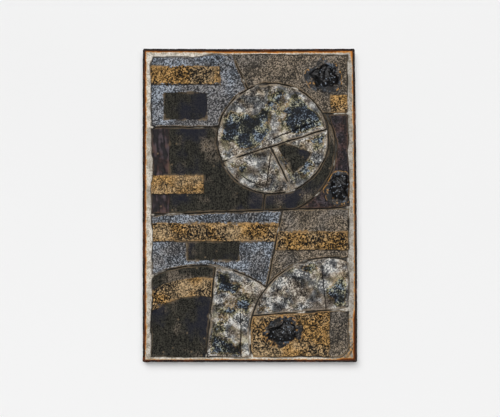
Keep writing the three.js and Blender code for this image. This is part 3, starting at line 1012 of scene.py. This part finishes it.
def lip_rust(x, z, in_frame):
    """How far the iron has stained the mortar along it."""
    sheltered = 1 - 0.6 * np.maximum(ease(x, 150, 190), ease(-z, 255, 285))
    bleed = sheltered * (0.75 + 0.25 * blotches(x, z, 0.35, 0.6, size=16, seed=133))
    edge = bleed * np.maximum(ease(in_frame, -2.6, -0.8), 0.36 * ease(in_frame, -6, -1))
    at_top = 0.5 * ease(x, -110, -60) * ease(z, 270, 285) * ease(in_frame, -5.5, -1.5)
    return np.maximum.reduce([edge, at_top, low_right(x, z) * (0.16 + ease(in_frame, -3.4, -1.5))])


def lip_grey(x, z):
    """How grey the lip is: most on the right, a little on the left, and more low down on both."""
    low_left = ease(-x, 150, 190) * ease(-z, 180, 220)
    beside = 0.39 * ease(x, 150, 195) + 0.06 * ease(-x, 150, 195)
    return beside + 0.14 * low_right(x, z) + 0.18 * low_left


def mortar_front(lip_out, floor_out):
    """The lip round the slabs and the mortar in the joints between them."""
    corners = frame_corners(IRON + BED_GAP)
    x, z = grid_over(corners, MORTAR_GRID)
    in_frame = signed_distance(x, z, corners)
    from_slab = np.min([slab_distance(node, x, z) for node in SLABS], axis=0) + chipped(x, z)
    from_round, from_end = rounded_corner(x, z)
    on_lip = ease(np.maximum(signed_distance(x, z, FIELD_OUTLINE), from_round), -8, -5.5)
    trowel = 0.9 * (fractal(x, z, size=24, seed=121) - 0.5)
    sandy = 0.3 * (fractal(x, z, size=4, seed=124, octaves=2) - 0.5)
    smeared = blotches(x, z, 0.5, 0.66, size=34, seed=126, octaves=2)
    gap = 4.5 * (1 - smeared) * ease(1.4 - from_slab, 0, 1.2)
    sway = 1.4 * (noise(x, z, size=5, seed=128) - 0.5)
    crack = ease(1.3 - path_distance(x + sway, z - sway, CRACK), 0, 0.8)
    bead = ease(from_end, 0, 8) * ease(from_round, -0.5, 0.6) * ease(4.4 - from_round, 0, 1)
    under = ease(from_end, 0, 8) * ease(from_round, 3.8, 4.8) * ease(6.4 - from_round, 0, 1)
    worked = trowel + sandy + 0.9 * ease(in_frame, -4, 0) - gap - 3 * crack + 1.2 * bead - 2 * under
    filled = blotches(x, z, 0.6, 0.76, size=26, seed=130, octaves=2)
    joint = floor_out + 0.6 + 7 * filled
    face = (lip_out - 0.4 + worked) * on_lip + joint * (1 - on_lip)
    # Painted shade in the gap beside the slabs, in the crack and in the groove under the bead, and the bead
    # a little darker
    grime_and_shade = 0.15 * gap + 0.8 * crack + 0.8 * under + 0.3 * bead
    # Dirt in the joints, the painted shade above, and the lip greyer in places
    dirt = np.clip((1 - on_lip) * (0.92 - 0.75 * filled) + grime_and_shade + lip_grey(x, z) * on_lip, 0, 0.95)
    rust = np.maximum(lip_rust(x, z, in_frame), 0.26 * bead)
    distance = np.maximum(in_frame, 0.05 - from_slab)
    return relief_plate((x, z), distance, face, floor_out - 1, {"rust": rust, "dirt": dirt})


def mortar_body(floor_out):
    """The casting under the slabs: flat behind, with the holes of bubbles and a pocket at each keyhole."""
    corners = frame_corners(IRON + BED_GAP)
    x, z = grid_over(corners, BACK_GRID)
    distance = signed_distance(x, z, corners)
    level = faced("mortar_bed", x, z, distance < 0, -1)
    window = signed_distance(x, z, frame_corners(FLANGE_WIDTH + BED_GAP))
    near, value = cells(x, z, size=24, seed=151)
    bubble = ease(0.26 * value ** 4 - near, -0.03, 0.04) * (window < -4)
    face = level + 0.5 * fractal(x, z, size=70, seed=154) + 1.8 * bubble
    stain = 0.7 * ease(window, -9, 0) * fractal(x, z, size=20, seed=157)
    # Random dirt, with painted shade in the bubble holes and in the pockets at the keyholes
    grime_and_shade = 0.3 * fractal(x, z, size=90, seed=160, octaves=4) - 0.06 + 0.3 * bubble + 0.6 * (level > 1)
    values = {"rust": stain, "dirt": np.clip(grime_and_shade, 0, 1)}
    return relief_plate((x, z), distance, face, floor_out - 0.1, values)


def mortar_bed():
    lip_out = -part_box("mortar_bed")[0].y / MM
    floor_out = -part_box("slab_sun_upper")[1].y / MM - BED_GAP
    patches = [mortar_front(lip_out, floor_out), mortar_body(floor_out)]
    piece("cement_bed", "mortar_bed", patches, [mortar()])


# The iron

# The upright's section: its worn arrises, where it starts behind, and how many points lie along its sides
ARRIS = 0.7
ARRIS_CUT = 0.21
BACK_EDGE = 0.2
OUTER_ROWS = 14
RIM_ROWS = 4
INNER_ROWS = 10

# The frame: points round each corner, the flange behind, the weld at the lower left, and rows on its map
CORNER_POINTS = 5
FLANGE_INSET = 0.8
WELD_REACH = 14
WELD_BULGE = 0.6
MAP_ROWS = 4


def frame_loop(inset, radius, counts):
    """The frame's outline moved in by an inset, with rounded corners and as many points at any inset."""
    corners = frame_corners(inset)
    points = []
    for k in range(4):
        corner, ahead, behind = corners[k], corners[(k + 1) % 4], corners[k - 1]
        start = corner + (behind - corner) / np.linalg.norm(behind - corner) * radius
        along = (ahead - corner) / np.linalg.norm(ahead - corner)
        end, last = corner + along * radius, ahead - along * radius
        for share in np.linspace(0, 1, CORNER_POINTS):
            points.append((1 - share) ** 2 * start + 2 * share * (1 - share) * corner + share ** 2 * end)
        count = counts[k % 2]
        points.extend(end + (last - end) * i / count for i in range(1, count))
    return np.array(points)


def iron_section():
    """The section of the upright iron as insets and heights, from the back of its outer face round."""
    shoulder, rim_cut = rim_out - ARRIS, rim_out - ARRIS_CUT
    outer = [(0, out) for out in np.linspace(BACK_EDGE, shoulder, OUTER_ROWS)]
    rim = [(inset, rim_out) for inset in np.linspace(ARRIS, IRON - ARRIS, RIM_ROWS)]
    inner = [(IRON, out) for out in np.linspace(shoulder, FLANGE_THICKNESS + 1, INNER_ROWS)]
    return [*outer, (ARRIS_CUT, rim_cut), *rim, (IRON - ARRIS_CUT, rim_cut), *inner, (IRON, BACK_EDGE)]


def iron_wall():
    """The upright of the angle iron, swept round the frame, dented and pitted."""
    start, end = np.array(low.xz), np.array(high.xz)
    middle, half = (start + end) / 2, (end - start) / 2
    counts = np.rint(2 * half / IRON_STEP).astype(int)
    loops, rust = [], []
    for inset, out in iron_section():
        flat = frame_loop(inset, max(CORNER_RADIUS - inset, 1), counts)
        x, z = flat.T
        dents = 0.5 * (fractal(x + out, z + out, size=24, seed=171) - 0.5)
        pits = 0.4 * blotches(x + 3 * out, z - 2 * out, 0.5, 0.75, size=5, seed=174)
        inward = -np.sign(flat - middle) * (np.abs(flat - middle) > half - 2 * IRON)
        on_outside = inset < IRON / 2
        weld = ease(WELD_REACH - np.hypot(x - low.x, z - low.z), 0, 5)
        shift = np.clip(0.12 + dents + pits, 0, 0.8) if on_outside else np.clip(0.1 + dents, -0.2, 0.2)
        shift = shift - WELD_BULGE * weld * on_outside
        lift = np.minimum(0.8 * dents - pits, 0.3) * (out > rim_out - 2)
        loops.append(np.column_stack([flat + inward * shift[:, None], out + lift]))
        stain = blotches(x, z, 0.35, 0.65, size=18, seed=177)
        scaled_top = 0.7 * ease(z, high.z - 9, high.z - 6)
        scaled_right = 0.5 * ease(x, 190, 196) * ease(-z, 40, 80)
        bare = (0.2 + 0.8 * stain) * (1 - np.maximum(scaled_top, scaled_right))
        inner = ease(inset, 3, IRON) * (out > rim_out - 4) * bare
        rust.append(np.maximum(inner, 0.3 * weld))
    return swept_ring(loops, {"rust": rust}, MAP_ROWS)


def keyhole_distance(x, z):
    """Distance from the keyholes in the flange, which are where the record's openings are."""
    nearest = np.full(x.shape, np.inf)
    for opening in frame["record"]["physics"]["openings"]:
        (x0, _, z0), (x1, _, z1) = np.array(opening["box_m"]) / MM
        across, up, half = (x0 + x1) / 2, (z0 + z1) / 2, (x1 - x0) / 2
        if opening["name"].endswith("head"):
            away = np.hypot(x - across, z - up) - half * math.sqrt(2)
        else:
            away = np.hypot(x - across, np.maximum(np.abs(z - up) - (z1 - z0) / 2 + half, 0)) - half
        nearest = np.minimum(nearest, away)
    return nearest


def iron_flange():
    """The flange behind, pitted with rust, with its keyholes."""
    outer = frame_corners(FLANGE_INSET)
    x, z = grid_over(outer, FLANGE_GRID)
    window = signed_distance(x, z, frame_corners(FLANGE_WIDTH))
    distance = np.maximum(np.maximum(signed_distance(x, z, outer), -window), -keyhole_distance(x, z))
    pits = 0.5 * blotches(x, z, 0.5, 0.78, size=7, seed=181)
    face = pits + 0.3 * fractal(x, z, size=60, seed=184, octaves=2)
    stain = 0.8 * blotches(x, z, 0.42, 0.62, size=40, seed=186, octaves=4)
    return relief_plate((x, z), distance, face, FLANGE_THICKNESS, {"rust": stain})


def iron_frame():
    piece("rusty_frame", "iron_frame", [iron_wall(), iron_flange()], [iron()])


# The stage: a pale wall that is open behind the plaque, a floor, lights and the camera

# Its sizes in metres, and in millimetres how far in from the frame's edge the wall is open
WALL_GAP = 0.0006
STAGE_REACH = 5.0
STAGE_DROP = 1.5
STAGE_RISE = 3.0
OPENING_INSET = 1.5

# Its suns: how strong each is, where it shines from, and over how many degrees it spreads
SUNS = {
    "key": (1.12, (-0.35, -2.0, 0.8), 24),
    "fill": (1.92, (0.1, -2.0, 0.25), 26),
    "behind": (3.0, (-0.9, 2.0, 1.1), 30),
}
AMBIENT = 0.06
FLOOR_GLOW = 0.3
SURROUND_GLOW = 0.887
SURROUND_SIDES = 32
WHITE = (1, 1, 1, 1)
BLACK = (0, 0, 0, 1)


def stage_material(name, glow):
    """Pale plaster, with a glow where the suns only graze it."""
    shader = Shader(name)
    shader.feed(shader.surface, {"Emission Color": WHITE, "Emission Strength": glow})
    tone = shader.ramp(shader.noise(900, 2), (0.3, 242, 242, 242), (0.7, 245, 245, 245))
    return shader.finish(tone, 0.9, shader.noise(6, 3), 0.02)


def band(count):
    """The faces between two rings of points, with the second ring's numbers after the first's."""
    return [(k, (k + 1) % count, count + (k + 1) % count, count + k) for k in range(count)]


def stage():
    reach, drop = STAGE_REACH, STAGE_DROP
    outer = [(-reach, -drop), (reach, -drop), (reach, STAGE_RISE), (-reach, STAGE_RISE)]
    opening = frame_corners(OPENING_INSET) * MM
    around = [(x, WALL_GAP, z) for x, z in [*outer, *opening]]
    mesh_object("wall", around, band(len(outer)), [stage_material("wall", 0)])
    ground = [(a * reach, b * reach, -drop) for a, b in ((-1, -1), (1, -1), (1, 1), (-1, 1))]
    floor = mesh_object("floor", ground, [(0, 1, 2, 3)], [stage_material("floor", FLOOR_GLOW)])
    floor.visible_diffuse = False


def surround():
    """A pale ring round the stage that is seen but gives no light."""
    shader = Shader("surround")
    glow = {"Base Color": BLACK, "Emission Color": WHITE, "Emission Strength": SURROUND_GLOW}
    shader.feed(shader.surface, glow)
    turns = [2 * math.pi * k / SURROUND_SIDES for k in range(SURROUND_SIDES)]
    points = [(STAGE_REACH * math.cos(t), STAGE_REACH * math.sin(t), height)
              for height in (-STAGE_DROP, STAGE_REACH) for t in turns]
    ring = mesh_object("surround", points, band(SURROUND_SIDES), [shader.material])
    for ray in ("diffuse", "glossy", "transmission", "shadow"):
        setattr(ring, "visible_" + ray, False)


def sun(name, power, place, spread):
    """A soft sun that shines from a place towards the plaque."""
    data = bpy.data.lights.new(name, "SUN")
    data.energy = power
    data.angle = math.radians(spread)
    made = in_scene(name, data)
    made.location = place
    made.rotation_euler = (-Vector(place)).to_track_quat("-Z", "Y").to_euler()


def lights():
    for name, settings in SUNS.items():
        sun(name, *settings)
    world = bpy.data.worlds.new("studio")
    world.use_nodes = True
    background = world.node_tree.nodes["Background"]
    background.inputs["Color"].default_value = WHITE
    background.inputs["Strength"].default_value = AMBIENT
    bpy.context.scene.world = world
    bpy.context.scene.view_settings.view_transform = "Standard"


def camera():
    data = bpy.data.cameras.new("camera")
    metres_per_pixel = (high.z - low.z) * MM / (PLAQUE_BOTTOM_PX - PLAQUE_TOP_PX)
    data.sensor_width = SENSOR_WIDTH
    data.lens = SENSOR_WIDTH * CAMERA_DISTANCE / (IMAGE_WIDTH * metres_per_pixel)
    made = in_scene("camera", data)
    aside = (IMAGE_WIDTH - PLAQUE_LEFT_PX - PLAQUE_RIGHT_PX) / 2 * metres_per_pixel
    up = (PLAQUE_TOP_PX + PLAQUE_BOTTOM_PX - IMAGE_HEIGHT) / 2 * metres_per_pixel
    made.location = (aside, -rim_out * MM - CAMERA_DISTANCE, up)
    made.rotation_euler = (math.pi / 2, 0, 0)
    bpy.context.scene.camera = made


camera()
lights()
stage()
surround()
for node, plan in SLABS.items():
    slab_piece(node, plan)
mortar_bed()
iron_frame()
